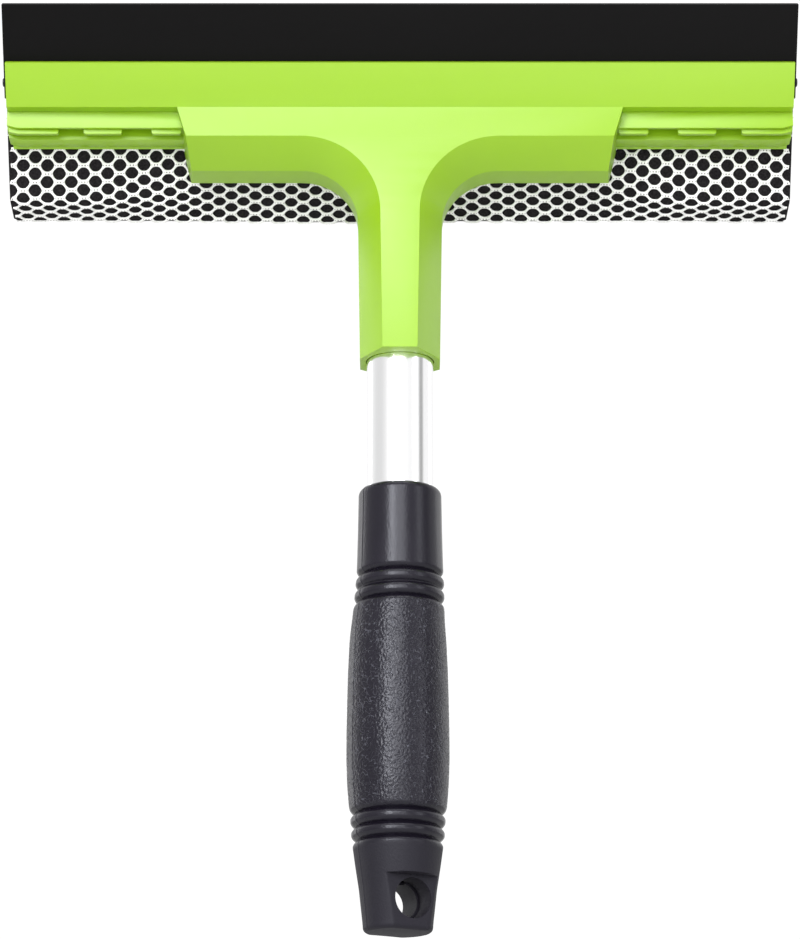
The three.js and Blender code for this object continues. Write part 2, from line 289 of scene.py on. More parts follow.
@dataclass(frozen=True)
class GreenMoulding:
    """Lime satin plastic with faint flow marks."""

    colour: Colour = (0.248, 0.462, 0.002)
    flow_colour: Colour = (0.276, 0.498, 0.006)
    roughness: float = 0.32
    specular: float = 0.68
    flow_scale: Point = (14.0, 60.0, 90.0)
    flow_share: float = 0.6
    cloud_scale: float = 38.0
    skin_scale: float = 2600.0
    scatter: float = 0.05
    scatter_radius: Colour = (0.0010, 0.0016, 0.0003)

    def make(self) -> bpy.types.Material:
        """Build the material.

        Returns:
            The new material.
        """
        board = Board("lime_moulding")
        flow = board.noise(1.0, 4.0, board.stretched(self.flow_scale))
        cloud = board.noise(self.cloud_scale, 2.0)
        marks = flow * self.flow_share + cloud * 0.4
        board.set(
            Base_Color=board.mix(marks, self.colour, self.flow_colour),
            Roughness=self.roughness + board.noise(420.0, 2.0) * 0.10,
            Normal=board.bump(board.noise(self.skin_scale, 2.0), 0.10, 0.04 * MM,
                              board.bump(flow, 0.10, 0.6 * MM)),
            Subsurface_Weight=self.scatter,
            Subsurface_Radius=self.scatter_radius,
            Specular_IOR_Level=self.specular,
        )
        return board.material


@dataclass(frozen=True)
class BladeRubber:
    """Smooth black rubber, dusty where it has been handled."""

    colour: Colour = (0.0028, 0.0026, 0.0028)
    dust: Colour = (0.0050, 0.0048, 0.0050)
    roughness: float = 0.50
    specular: float = 0.06
    haze_scale: float = 22.0
    skin_scale: float = 1800.0

    def make(self) -> bpy.types.Material:
        """Build the material.

        Returns:
            The new material.
        """
        board = Board("blade_rubber")
        haze = board.noise(self.haze_scale, 4.0, board.stretched((0.5, 1.0, 1.0)))
        board.set(
            Base_Color=board.mix(haze, self.colour, self.dust),
            Roughness=self.roughness + haze * 0.12,
            Normal=board.bump(board.noise(self.skin_scale, 2.0), 0.08, 0.03 * MM),
            Specular_IOR_Level=self.specular,
        )
        return board.material


@dataclass(frozen=True)
class GripPlastic:
    """Charcoal plastic, with short raised ridges over its grained stretch, painted pale as a
    highlight.
    """

    name: str = "grip_plastic"
    colour: Colour = (0.0040, 0.0030, 0.0064)
    worn: Colour = (0.0080, 0.0060, 0.0120)
    # Pale colour of the ridges: a painted highlight for the light they catch
    painted_ridge_highlight: Colour = (0.058, 0.058, 0.074)
    roughness: float = 0.20
    end_roughness: float = 0.38
    grained: tuple[float, float] = (37.2 * MM, 100.4 * MM)
    end_top: float = 25.5 * MM
    grained_fade: float = 0.8 * MM
    end_fade: float = 1.0 * MM
    worm_scale: float = 880.0
    worm_width: float = 0.032
    worm_soft: float = 0.016
    gap_limit: float = 0.60
    gap_soft: float = 0.06
    fine_scale: float = 1500.0
    specular: float = 0.38
    tint: tuple[float, float, float, float] = (0.90, 0.92, 1.0, 1.0)

    def _worms(self, board: Board) -> Wire:
        """Short winding ridges: contours of one noise, broken up by another.

        Args:
            board: the material's board.

        Returns:
            The mask of the ridges.
        """
        noise = board.noise(self.worm_scale, 0.0)
        contour = noise.distance_to(0.5).below(self.worm_width, self.worm_soft)
        gaps = board.noise(self.worm_scale * 0.7, 0.0, board.stretched((1.0, 1.0, 0.6)))
        return contour * gaps.below(self.gap_limit, self.gap_soft)

    def make(self) -> bpy.types.Material:
        """Build the material.

        Returns:
            The new material.
        """
        board = Board(self.name)
        rub = board.noise(60.0, 4.0)
        height = board.add("ShaderNodeSeparateXYZ", {}, {"Vector": board.place()}, "Z")
        low, high = self.grained
        band = height.distance_to((low + high) / 2).below((high - low) / 2, self.grained_fade)
        worms = self._worms(board) * band
        fine = board.noise(self.fine_scale, 2.0)
        end = height.below(self.end_top, self.end_fade)
        board.set(
            # The ridges' bump is real; their pale colour is painted highlight.
            Base_Color=board.mix(worms, board.mix(rub, self.colour, self.worn), self.painted_ridge_highlight),
            Roughness=self.roughness + rub * 0.12 + end * self.end_roughness,
            Normal=board.bump(worms, 1.0, 0.30 * MM, board.bump(fine, 0.9, 0.08 * MM)),
            Specular_IOR_Level=self.specular,
            Specular_Tint=self.tint,
        )
        return board.material


@dataclass(frozen=True)
class DrawnAluminium:
    """Bright drawn tube with fine lines along it."""

    colour: Colour = (0.95, 0.95, 0.955)
    line_colour: Colour = (0.91, 0.91, 0.915)
    roughness: float = 0.12
    line_scale: Point = (2600.0, 2600.0, 16.0)

    def make(self) -> bpy.types.Material:
        """Build the material.

        Returns:
            The new material.
        """
        board = Board("drawn_aluminium")
        lines = board.noise(1.0, 3.0, board.stretched(self.line_scale))
        board.set(
            Base_Color=board.mix(lines, self.colour, self.line_colour),
            Metallic=1.0,
            Roughness=self.roughness + lines * 0.10,
            Normal=board.bump(lines, 0.12, 0.04 * MM),
        )
        return board.material


@dataclass(frozen=True)
class ZincSteel:
    """Zinc-plated screw steel."""

    colour: Colour = (0.58, 0.59, 0.60)
    dull: Colour = (0.44, 0.45, 0.47)
    roughness: float = 0.26

    def make(self) -> bpy.types.Material:
        """Build the material.

        Returns:
            The new material.
        """
        board = Board("zinc_steel")
        blotch = board.noise(700.0, 3.0)
        board.set(
            Base_Color=board.mix(blotch, self.colour, self.dull),
            Metallic=1.0,
            Roughness=self.roughness + blotch * 0.2,
        )
        return board.material


@dataclass(frozen=True)
class PalePlug:
    """Plain moulded plug plastic."""

    colour: Colour = (0.66, 0.66, 0.63)
    dull: Colour = (0.58, 0.58, 0.55)
    roughness: float = 0.5

    def make(self) -> bpy.types.Material:
        """Build the material.

        Returns:
            The new material.
        """
        board = Board("pale_plug")
        cloud = board.noise(120.0, 3.0)
        board.set(
            Base_Color=board.mix(cloud, self.colour, self.dull),
            Roughness=self.roughness + cloud * 0.15,
        )
        return board.material


@dataclass(frozen=True)
class BlackFoam:
    """Open-cell foam, with painted shade that makes it nearly black in its pores."""

    ridge: Colour = (0.022, 0.020, 0.022)
    # Colour of the pores: painted shade in the hollows of the foam
    painted_pore_shade: Colour = (0.0015, 0.0015, 0.0018)
    cell: float = 1500.0
    lump_scale: float = 420.0
    roughness: float = 0.9
    specular: float = 0.08

    def make(self) -> bpy.types.Material:
        """Build the material.

        Returns:
            The new material.
        """
        board = Board("black_foam")
        cells = board.add(
            "ShaderNodeTexVoronoi", {"feature": "F1"},
            {"Vector": board.place(), "Scale": self.cell, "Randomness": 1.0}, "Distance")
        lumps = board.noise(self.lump_scale, 3.0)
        wall = cells * 0.8 + lumps * 0.4
        board.set(
            # The pores, low in the bump, get painted shade.
            Base_Color=board.mix(wall, self.painted_pore_shade, self.ridge),
            Roughness=self.roughness,
            Normal=board.bump(wall, 0.9, 0.4 * MM),
            Specular_IOR_Level=self.specular,
        )
        return board.material


@dataclass(frozen=True)
class WhiteNet:
    """Warp-knit polyester, with a row of needle holes along each bar."""

    yarn: Colour = (0.97, 0.97, 0.96)
    shade: Colour = (0.88, 0.88, 0.87)
    hole: Colour = (0.03, 0.03, 0.03)
    pitch_x: float = 7.9
    pitch_v: float = 5.4
    hole_gap: float = 0.95
    hole_width: float = 0.19
    hole_height: float = 0.20
    bar_half: float = 1.42
    yarn_scale: float = 2300.0
    roughness: float = 0.75
    sheen: float = 0.25
    specular: float = 0.3

    def _needle_holes(self, across: Wire, along: Wire) -> Wire:
        """Mask of the needle holes in the bars centred on whole lattice steps.

        Args:
            across: place along the pad, in columns.
            along: place round the pad, in rows.

        Returns:
            The mask.
        """
        side = (across + 0.5).fract().distance_to(0.5) * self.pitch_x
        line = (along + 0.5).fract().distance_to(0.5) * self.pitch_v
        spot = ((side * (1.0 / self.hole_gap)).fract().distance_to(0.5)) * self.hole_gap
        return (spot.below(self.hole_width, 0.06) * line.below(self.hole_height, 0.07)
                * side.below(self.bar_half, 0.05))

    def make(self) -> bpy.types.Material:
        """Build the material.

        Returns:
            The new material.
        """
        board = Board("white_net")
        lattice = board.add("ShaderNodeUVMap", {"uv_map": "lattice"}, {})
        across = board.add("ShaderNodeSeparateXYZ", {}, {0: lattice}, "X")
        along = board.add("ShaderNodeSeparateXYZ", {}, {0: lattice}, "Y")
        holes = (self._needle_holes(across + 0.5, along)
                 + self._needle_holes(across, along + 0.5))
        yarn = board.noise(self.yarn_scale, 2.0)
        soft = board.mix(yarn, self.shade, self.yarn)
        board.set(
            Base_Color=board.mix(holes, soft, self.hole),
            Roughness=self.roughness,
            Normal=board.bump(yarn, 0.55, 0.12 * MM),
            Sheen_Weight=self.sheen,
            Specular_IOR_Level=self.specular,
        )
        return board.material


# ---- Mesh helpers ---------------------------------------------------------------------


def add_object(name: str, data: Any) -> bpy.types.Object:
    """Put a new object in the scene.

    Args:
        name: the object's name.
        data: its mesh, light or camera.

    Returns:
        The new object.
    """
    thing = bpy.data.objects.new(name, data)
    bpy.context.scene.collection.objects.link(thing)
    return thing


def eased(share: np.ndarray) -> np.ndarray:
    """A share from 0 to 1 that starts and ends gently."""
    return share * share * (3 - 2 * share)


def quarter_turn(first: int, last: int, steps: int) -> list[tuple[float, float]]:
    """Sine, and 1 less the cosine, at steps through a quarter turn.

    Args:
        first: number of the first step.
        last: number after the last one.
        steps: how many steps make the quarter turn.

    Returns:
        The two values at each step.
    """
    turns = [step / steps * math.pi / 2 for step in range(first, last)]
    return [(math.sin(turn), 1 - math.cos(turn)) for turn in turns]


def mesh_object(name: str, points: np.ndarray, faces: Sequence[Sequence[int]]) -> bpy.types.Object:
    """Make an object from points in metres and faces.

    Args:
        name: the piece's name.
        points: N by 3 array.
        faces: vertex numbers of each face.

    Returns:
        The new object, shaded smooth.
    """
    mesh = bpy.data.meshes.new(name)
    mesh.from_pydata(points.tolist(), [], [list(map(int, face)) for face in faces])
    mesh.validate()
    mesh.update()
    piece = add_object(name, mesh)
    smooth(piece)
    return piece


def smooth(piece: bpy.types.Object, sharp_degrees: float = 180.0) -> None:
    """Shade a piece smooth, except along sharp edges.

    Args:
        piece: the piece.
        sharp_degrees: the angle above which an edge stays sharp.
    """
    mesh = piece.data
    mesh.polygons.foreach_set("use_smooth", [True] * len(mesh.polygons))
    if sharp_degrees < 180.0:
        mesh.set_sharp_from_angle(angle=math.radians(sharp_degrees))


def apply_modifiers(piece: bpy.types.Object) -> None:
    """Turn a piece's modifiers into its mesh.

    Args:
        piece: the piece.
    """
    graph = bpy.context.evaluated_depsgraph_get()
    mesh = bpy.data.meshes.new_from_object(piece.evaluated_get(graph))
    piece.modifiers.clear()
    old = piece.data
    piece.data = mesh
    bpy.data.meshes.remove(old)


def grid_faces(rows: int, columns: int, capped: bool = False) -> list[tuple[int, ...]]:
    """Faces of a grid of points that closes on itself along its columns.

    Args:
        rows: rows of points.
        columns: points in each row.
        capped: whether the first and last rows get a face each.

    Returns:
        The point numbers of each face.
    """
    faces: list[tuple[int, ...]] = []
    for row in range(rows - 1):
        for column in range(columns):
            after = (column + 1) % columns
            faces.append((row * columns + column, row * columns + after,
                          (row + 1) * columns + after, (row + 1) * columns + column))
    if capped:
        last = (rows - 1) * columns
        faces.append(tuple(range(columns - 1, -1, -1)))
        faces.append(tuple(range(last, last + columns)))
    return faces


def turned_piece(name: str, profile: Sequence[tuple[float, float]],
                 segments: int) -> bpy.types.Object:
    """Turn a closed profile of (radius, height) in metres about Z.

    Args:
        name: the piece's name.
        profile: points that go once round the section, radii above zero.
        segments: facets round the piece.

    Returns:
        The new piece.
    """
    outline = np.array(list(profile) + [profile[0]])
    angle = np.linspace(0.0, 2.0 * math.pi, segments, endpoint=False)
    rows = len(outline)
    points = np.empty((rows, segments, 3))
    points[..., 0] = outline[:, 0:1] * np.cos(angle)
    points[..., 1] = outline[:, 0:1] * np.sin(angle)
    points[..., 2] = outline[:, 1:2]
    piece = mesh_object(name, points.reshape(-1, 3), grid_faces(rows, segments))
    weld(piece, TURNED_WELD)
    return piece


def weld(piece: bpy.types.Object, distance: float) -> None:
    """Merge a piece's doubled points and turn every face outwards.

    Args:
        piece: the piece.
        distance: how close the doubled points are, in metres.
    """
    shape = bmesh.new()
    shape.from_mesh(piece.data)
    bmesh.ops.remove_doubles(shape, verts=shape.verts, dist=distance)
    bmesh.ops.recalc_face_normals(shape, faces=shape.faces)
    shape.to_mesh(piece.data)
    shape.free()


def rounded_copy(node: str, name: str, radius: float, segments: int = 3) -> bpy.types.Object:
    """Copy a CAD node with its true flats, and round its edges as a mould does.

    Args:
        node: the CAD node that the piece stands for.
        name: the new piece's name.
        radius: edge radius in metres.
        segments: steps round each edge.

    Returns:
        The rounded piece, in place.
    """
    shape = bmesh.new()
    shape.from_mesh(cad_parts[node].data)
    bmesh.ops.remove_doubles(shape, verts=shape.verts, dist=CAD_WELD)
    bmesh.ops.dissolve_limit(
        shape, angle_limit=FLAT_ANGLE, verts=shape.verts, edges=shape.edges)
    mesh = bpy.data.meshes.new(name)
    shape.to_mesh(mesh)
    shape.free()
    piece = add_object(name, mesh)
    smooth(piece)
    bevel = piece.modifiers.new("rounding", "BEVEL")
    bevel.width = radius
    bevel.segments = segments
    bevel.limit_method = "ANGLE"
    bevel.angle_limit = EDGE_ANGLE
    bevel.harden_normals = True
    bevel.use_clamp_overlap = True
    apply_modifiers(piece)
    return piece


def dress(piece: bpy.types.Object, material: bpy.types.Material, body: Body,
          replaces: str | None = None) -> bpy.types.Object:
    """Give a piece its material and tie it to the frame.

    Args:
        piece: the piece, in place.
        material: its finish.
        body: the CAD body that it rides on.
        replaces: a CAD node that it stands for.

    Returns:
        The same piece.
    """
    piece.data.materials.clear()
    piece.data.materials.append(material)
    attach(piece, body.value)
    if replaces:
        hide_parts(replaces)
    LOG.info("%s: %d faces", piece.name, len(piece.data.polygons))
    return piece


# ---- Mouldings and blade --------------------------------------------------------------


@dataclass
class GreenHead:
    """The front frame, the rear rail and the sponge's carrier."""

    finish: GreenMoulding = field(default_factory=GreenMoulding)
    frame_edge: float = 0.60 * MM
    rail_edge: float = 0.38 * MM

    def build(self) -> None:
        """Build and dress the green mouldings."""
        green = self.finish.make()
        for node, name, edge, body in (
                ("front_frame", "front_frame_moulding", self.frame_edge, Body.MAIN),
                ("rear_rail", "rear_rail_moulding", self.rail_edge, Body.MAIN),
                ("sponge_carrier", "sponge_carrier_strip", self.rail_edge, Body.SPONGE)):
            dress(rounded_copy(node, name, edge), green, body, node)


@dataclass
class Blade:
    """The rubber strip and the rod in its bead."""

    rubber: BladeRubber = field(default_factory=BladeRubber)
    plastic: GripPlastic = GripPlastic(
        name="rod_plastic", colour=(0.016, 0.016, 0.017), worn=(0.024, 0.024, 0.026))
    edge: float = 0.30 * MM
    rod_segments: int = 32
    dome: float = 0.5 * MM
    dome_steps: int = 5

    def build(self) -> None:
        """Build and dress the blade and its rod."""
        strip = rounded_copy("rubber_blade", "rubber_strip", self.edge)
        dress(strip, self.rubber.make(), Body.BLADE, "rubber_blade")
        dress(self._rod(), self.plastic.make(), Body.ROD, "blade_rod")

    def _rod(self) -> bpy.types.Object:
        """Rod along X with domed ends, from the CAD node's box.

        Returns:
            The rod.
        """
        low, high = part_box("blade_rod")
        radius = (high.z - low.z) / 2
        length = high.x - low.x
        profile = [(AXIS_RADIUS, 0.0)]
        for across, along in quarter_turn(0, self.dome_steps + 1, self.dome_steps):
            profile.append((radius - self.dome * (1 - across), self.dome * along))
        profile += [(r, length - z) for r, z in reversed(profile)]
        piece = turned_piece("locking_rod", profile, self.rod_segments)
        turn = Matrix.Rotation(math.pi / 2, 4, "Y")
        place = Matrix.Translation((low.x, (low.y + high.y) / 2, (low.z + high.z) / 2))
        piece.data.transform(place @ turn)
        return piece


# ---- Pad ------------------------------------------------------------------------------


@dataclass
class PadSurface:
    """Shape that the foam and the net share, from the sleeve's CAD box.

    A place on it is given by x along the pad and v, metres round the section. The
    section is a rounded outline in the leaning head plane, with one shape at the
    pad's middle and a squarer one towards its ends.
    """

    lean: float = math.radians(34.0)
    samples: int = 900
    wave: float = 0.25 * MM
    middle_reach: float = 50 * MM
    end_reach: float = 104 * MM
    soft_corner: float = 12.5 * MM
    middle_face: float = 16.6 * MM
    end_face: float = 8.2 * MM
    middle_foot: tuple[float, float] = (-1.6 * MM, 11.0 * MM)
    end_foot: tuple[float, float] = (-0.9 * MM, 10.0 * MM)
    face_round: float = 4.0 * MM
    foot_round: float = 3.0 * MM
    fillet_steps: int = 24
    slope_step: float = 0.3 * MM
    swell_long: tuple[float, float] = (5.1, 1.3)
    swell_short: tuple[float, float] = (11.7, 0.4)
    swell_share: float = 0.6

    def __post_init__(self) -> None:
        """Work out the section from the CAD sleeve's box."""
        low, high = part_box("net_sleeve")
        depth, height = high.y - low.y, high.z - low.z
        straight = (height - depth) / (math.cos(self.lean) - math.sin(self.lean))
        radius = (height - straight * math.cos(self.lean)) / 2
        self.centre = ((low.y + high.y) / 2, (low.z + high.z) / 2)
        self.low_x, self.high_x = low.x, high.x
        self.half_length = straight / 2 + radius
        self.half_depth = radius
        self.perimeter = 0.0
        self.middle = self._section(self.middle_face, self.middle_foot)
        self.end = self._section(self.end_face, self.end_foot)

    def _section(self, face: float, foot: tuple[float, float]) -> np.ndarray:
        """Sample one closed section evenly.

        Args:
            face: how far above the pad's lower end its front face turns under.
            foot: how far above the pad's lower end, and behind its front, the lower edge is.

        Returns:
            Samples by 2 array of (along, across), from the front face's middle downwards.
        """
        long, deep = self.half_length, self.half_depth
        turn = -long + face
        corners = [
            ((turn, -deep), self.face_round),
            ((-long + foot[0], -deep + foot[1]), self.foot_round),
            ((-long, deep), self.soft_corner),
            ((long, deep), self.soft_corner),
            ((long, -deep), self.soft_corner),
        ]
        outline = [np.array((0.0, -deep))]
        for number, (corner, radius) in enumerate(corners):
            before = np.array(corners[number - 1][0])
            after = np.array(corners[(number + 1) % len(corners)][0])
            outline += self._fillet(before, np.array(corner), after, radius)
        outline = np.array(outline + [outline[0]])
        steps = np.hypot(*np.diff(outline, axis=0).T)
        distance = np.concatenate([[0.0], np.cumsum(steps)])
        self.perimeter = max(self.perimeter, distance[-1])
        even = np.linspace(0.0, distance[-1], self.samples, endpoint=False)
        return np.stack(
            [np.interp(even, distance, outline[:, axis]) for axis in (0, 1)], axis=-1)

    def _fillet(self, before: np.ndarray, corner: np.ndarray, after: np.ndarray,
                radius: float) -> list[np.ndarray]:
        """Round one corner of an outline.

        Args:
            before: the corner before it.
            corner: the corner.
            after: the corner after it.
            radius: radius of the arc in metres.

        Returns:
            Points of the arc.
        """
        to_before = (before - corner) / np.linalg.norm(before - corner)
        to_after = (after - corner) / np.linalg.norm(after - corner)
        half = math.acos(float(np.clip(to_before @ to_after, -1, 1))) / 2
        middle = (to_before + to_after) / np.linalg.norm(to_before + to_after)
        centre = corner + middle * radius / math.sin(half)
        start = corner + to_before * radius / math.tan(half) - centre
        end = corner + to_after * radius / math.tan(half) - centre
        sweep = math.pi - 2 * half
        points = []
        for step in range(self.fillet_steps + 1):
            share = step / self.fillet_steps
            arm = math.sin((1 - share) * sweep) * start + math.sin(share * sweep) * end
            points.append(centre + arm / math.sin(sweep))
        return points

    def point(self, x: np.ndarray, v: np.ndarray, lift: np.ndarray) -> np.ndarray:
        """Points on the pad.

        Args:
            x: metres along the pad.
            v: metres round the section, from the front face's middle downwards.
            lift: metres above the surface.

        Returns:
            N by 3 array of points in the frame.
        """
        run = self.end_reach - self.middle_reach
        reach = eased(np.clip((np.abs(x) - self.middle_reach) / run, 0, 1))
        place = np.mod(v / self.perimeter, 1.0)

        def at(share: np.ndarray) -> np.ndarray:
            """Point of the blended section.

            Args:
                share: how far round the section, from 0 to 1.

            Returns:
                N by 2 array of (along, across).
            """
            number = np.arange(self.samples) / self.samples
            return np.stack([
                np.interp(share, number, self.middle[:, axis], period=1.0) * (1 - reach)
                + np.interp(share, number, self.end[:, axis], period=1.0) * reach
                for axis in (0, 1)], axis=-1)

        step = self.slope_step / self.perimeter
        here, ahead, behind = at(place), at(place + step), at(place - step)
        way = ahead - behind
        way /= np.linalg.norm(way, axis=1)[:, None]
        outward = np.stack([way[:, 1], -way[:, 0]], axis=-1)
        outward *= np.sign((outward * here).sum(axis=1))[:, None]
        section = here + outward * (lift + self._swell(x, place))[:, None]
        along, across = section.T
        sine, cosine = math.sin(self.lean), math.cos(self.lean)
        y = self.centre[0] - along * sine + across * cosine
        z = self.centre[1] + along * cosine + across * sine
        return np.stack([x, y, z], axis=-1)

    def _swell(self, x: np.ndarray, place: np.ndarray) -> np.ndarray:
        """Slow rise and fall of the soft pad.

        Args:
            x: metres along the pad.
            place: how far round the section, from 0 to 1.

        Returns:
            The rise in metres.
        """
        turn = place * 2 * math.pi
        share = x / self.high_x
        long = np.sin(share * self.swell_long[0] + self.swell_long[1] + turn)
        short = np.sin(share * self.swell_short[0] + self.swell_short[1] - 2 * turn)
        return self.wave * (long + self.swell_share * short) / (1 + self.swell_share)


@dataclass
class Sponge:
    """Foam pad in its net sleeve."""

    foam: BlackFoam = field(default_factory=BlackFoam)
    net: WhiteNet = field(default_factory=WhiteNet)
    pitch_x: float = 7.9 * MM
    pitch_v: float = 5.4 * MM
    hole_x: float = 2.20 * MM
    hole_v: float = 2.00 * MM
    hole_point: float = 0.34
    strand: float = 0.55 * MM
    foam_inset: float = 0.12 * MM
    end_dip: float = 1.1 * MM
    foam_length: float = 127.1 * MM
    net_length: float = 126.5 * MM
    ragged: float = 0.5 * MM
    ragged_waves: tuple[int, int] = (23, 41)
    foam_grid: tuple[int, int] = (220, 150)
    foam_round: float = 0.9 * MM
    foam_drop: float = 0.5 * MM
    rim_splits: tuple[int, ...] = (4, 3, 4, 4, 3, 4)
    middle_share: float = 0.52
    middle_height: float = 0.92
    hole_height: float = 0.45
    dip_start: float = 50 * MM
    dip_run: float = 77 * MM
    dip_power: float = 1.5
    wobble_v: float = 0.32 * MM
    wobble_x: float = 0.26 * MM
    wobble_rates: tuple[float, float] = (61.0, 37.0)
    join: float = 0.02 * MM
    surface: PadSurface = field(default_factory=PadSurface)

    def build(self) -> None:
        """Build and dress the foam and the net."""
        foam = dress(self._foam(), self.foam.make(), Body.SPONGE, "sponge_foam")
        net = dress(self._net(), self.net.make(), Body.SPONGE, "net_sleeve")
        flat = (self.surface.perimeter, 2 * self.net_length)
        self._yarn_share() * flat[0] * flat[1]

    def _yarn_share(self) -> float:
        """Share of the flat net that is yarn rather than hole.

        Returns:
            The share, from 0 to 1.
        """
        hole = self._cell(self.pitch_v)[1]
        after = np.roll(hole, -1, axis=0)
        open_area = abs(np.sum(hole[:, 0] * after[:, 1] - hole[:, 1] * after[:, 0])) / 2
        return float(1 - open_area / (self.pitch_x * self.pitch_v / 2))

    def _foam(self) -> bpy.types.Object:
        """Foam body with softly rounded ends and an uneven skin.

        Returns:
            The foam.
        """
        surface = self.surface
        x_steps, v_steps = self.foam_grid
        inner = -self.strand - self.foam_inset
        length = self.foam_length
        x_line = np.linspace(-length, length, x_steps)
        v_line = np.linspace(0.0, surface.perimeter, v_steps, endpoint=False)
        x, v = np.meshgrid(x_line, v_line, indexing="ij")
        edge = np.clip((length - np.abs(x)) / self.foam_round, 0.0, 1.0)
        lift = inner - self.foam_drop * (1 - np.sqrt(1 - (1 - edge) ** 2))
        points = surface.point(x.ravel(), v.ravel(), lift.ravel())
        piece = mesh_object("foam_pad", points, grid_faces(x_steps, v_steps, capped=True))
        weld(piece, 1e-7)
        smooth(piece, 50.0)
        return piece

    def _cell(self, pitch_v: float) -> tuple[np.ndarray, np.ndarray]:
        """Outline of one net cell and of its hole.

        Args:
            pitch_v: spacing round the section of holes in one column.

        Returns:
            Two arrays of points round the cell's centre, in step with each other.
        """
        a, b = self.pitch_x / 2, pitch_v / 2
        top = (a * a - b * b) / (2 * a)
        side = (a * a + b * b) / (2 * a)
        corners = [(side, 0.0), (top, b), (-top, b), (-side, 0.0), (-top, -b), (top, -b)]
        rim = []
        for number, steps in enumerate(self.rim_splits):
            start = np.array(corners[number])
            end = np.array(corners[(number + 1) % 6])
            rim += [start + (end - start) * step / steps for step in range(steps)]
        rim = np.array(rim)
        angle = np.arctan2(rim[:, 1] / b, rim[:, 0] / side)
        ellipse = np.stack([self.hole_x * np.cos(angle), self.hole_v * np.sin(angle)], axis=-1)
        pointed = rim * (self.hole_x / side, self.hole_v / b)
        return rim, pointed * self.hole_point + ellipse * (1 - self.hole_point)

    def _net(self) -> bpy.types.Object:
        """Knitted sleeve: a lattice of rounded holes wrapped round the pad.

        Returns:
            The sleeve.
        """
        surface = self.surface
        rows = round(surface.perimeter / self.pitch_v)
        pitch_v = surface.perimeter / rows
        columns = math.ceil(surface.high_x / self.pitch_x) + 1
        rim, hole = self._cell(pitch_v)
        count = len(rim)
        middle = rim * self.middle_share + hole * (1 - self.middle_share)
        rings = [(rim, 1.0), (middle, self.middle_height), (hole, self.hole_height),
                 (hole, 0.0), (rim, 0.0)]
        flat, faces = [], []
        for row in range(2 * rows):
            for column in range(-columns, columns + 1):
                centre = ((column + (row % 2) / 2) * self.pitch_x, row / 2 * pitch_v)
                base = len(flat) * count
                for ring, height in rings:
                    block = np.empty((count, 3))
                    block[:, :2] = ring + centre
                    block[:, 2] = height * self.strand
                    flat.append(block)
                for ring in range(len(rings) - 1):
                    first = base + ring * count
                    for i in range(count):
                        after = (i + 1) % count
                        faces.append((first + i, first + after,
                                      first + count + after, first + count + i))
        return self._wrap(np.concatenate(flat), faces, pitch_v)

    def _wrap(self, sheet: np.ndarray, faces: list, pitch_v: float) -> bpy.types.Object:
        """Trim the flat net, wrap it round the pad and weld it.

        Args:
            sheet: points of the flat net, as metres along, round and above the pad.
            faces: its faces.
            pitch_v: spacing of the holes round the pad.

        Returns:
            The sleeve.
        """
        piece = mesh_object("net_knit", sheet, faces)
        layer = piece.data.uv_layers.new(name="lattice")
        loops = np.empty(len(piece.data.loops), np.int32)
        piece.data.loops.foreach_get("vertex_index", loops)
        uv = (sheet[:, :2] / (self.pitch_x, pitch_v))[loops]
        layer.data.foreach_set("uv", uv.ravel())
        self._trim(piece)
        flat = np.array([vertex.co for vertex in piece.data.vertices])
        surface = self.surface
        along, round_it, height = flat.T
        turn = round_it / surface.perimeter * 2 * math.pi
        dip = self.end_dip * np.clip(
            (np.abs(along) - self.dip_start) / self.dip_run, 0, 1) ** self.dip_power
        rate_v, rate_x = self.wobble_rates
        v = round_it + dip + self.wobble_v * np.sin(along * rate_v + 3 * turn)
        x = along + self.wobble_x * np.sin(5 * turn + along * rate_x)
        points = surface.point(x, v, height - self.strand)
        piece.data.vertices.foreach_set("co", points.astype(np.float32).ravel())
        weld(piece, self.join)
        smooth(piece, 70.0)
        return piece

    def _trim(self, piece: bpy.types.Object) -> None:
        """Cut the flat net to length along a ragged line, and close the cut strands.

        Args:
            piece: the flat net.
        """
        rows = np.array([vertex.co for vertex in piece.data.vertices])
        turn = rows[:, 1] / self.surface.perimeter * 2 * math.pi
        slow, fast = self.ragged_waves
        waves = np.sin(slow * turn) + np.sin(fast * turn + 1.0)
        wander = self.ragged * waves * np.sign(rows[:, 0]) / 2
        self._shift(piece, wander)
        shape = bmesh.new()
        shape.from_mesh(piece.data)
        lost = shape.verts.layers.float.new("wander")
        for vertex, move in zip(shape.verts, wander):
            vertex[lost] = move
        bmesh.ops.remove_doubles(shape, verts=shape.verts, dist=self.join)
        for side in (-1, 1):
            geometry = shape.verts[:] + shape.edges[:] + shape.faces[:]
            bmesh.ops.bisect_plane(
                shape, geom=geometry, dist=1e-6, plane_co=(side * self.net_length, 0, 0),
                plane_no=(side, 0, 0), clear_outer=True)
        near = self.join / 2
        ends = [edge for edge in shape.edges if edge.is_boundary
                and all(abs(abs(v.co.x) - self.net_length) < near for v in edge.verts)]
        bmesh.ops.holes_fill(shape, edges=ends, sides=0)
        for vertex in shape.verts:
            vertex.co.x -= vertex[lost]
        shape.to_mesh(piece.data)
        shape.free()

    @staticmethod
    def _shift(piece: bpy.types.Object, along: np.ndarray) -> None:
        """Move each point of a flat net along X.

        Args:
            piece: the flat net.
            along: the move of each point in metres.
        """
        for vertex, move in zip(piece.data.vertices, along):
            vertex.co.x += move


# ---- Handle ---------------------------------------------------------------------------


